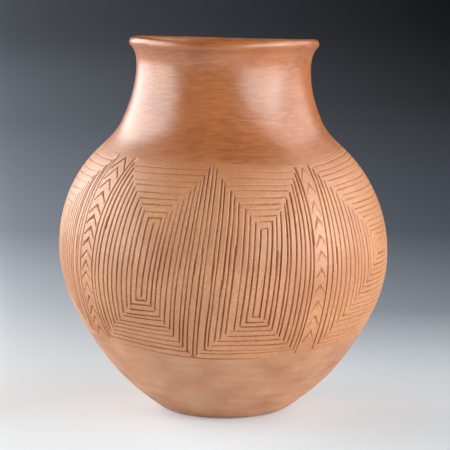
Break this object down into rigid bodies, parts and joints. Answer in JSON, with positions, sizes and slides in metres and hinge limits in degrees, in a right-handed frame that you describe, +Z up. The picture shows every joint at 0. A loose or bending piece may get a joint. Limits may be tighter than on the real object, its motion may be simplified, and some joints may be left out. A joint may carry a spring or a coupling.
{
  "type": "pottery jar",
  "caption": "Round-bellied, coil-built earthenware jar with a polished, flared neck and a band of incised lines and chevrons, for holding water, grain or stems, or for display.",
  "frame": {"origin": "centre of the standing face, on the jar's axis", "axes": "+Z up along the jar's axis, towards the mouth; -Y faces the picture's viewer"},
  "size_m": [0.2264, 0.2264, 0.254],
  "materials": {
    "smoothed_clay": "smoothed, unglazed, satin",
    "incised_clay": "matte, unglazed, incised",
    "scraped_clay": "scraped, unglazed, matte",
    "polished_slip": "stone-polished red slip, semi-gloss"
  },
  "bodies": {
    "root": {"base_pancake": "smoothed_clay", "lower_coil_1": "smoothed_clay", "lower_coil_2": "smoothed_clay", "belly_coil_1": "incised_clay", "belly_coil_2": "incised_clay", "belly_coil_3": "incised_clay", "belly_coil_4": "incised_clay", "belly_coil_5": "incised_clay", "belly_coil_6": "incised_clay", "neck_coil_1": "scraped_clay", "neck_coil_2": "scraped_clay", "neck_coil_3": "scraped_clay", "rim_coil": "scraped_clay", "neck_slip": "polished_slip"}
  },
  "joints": []
}
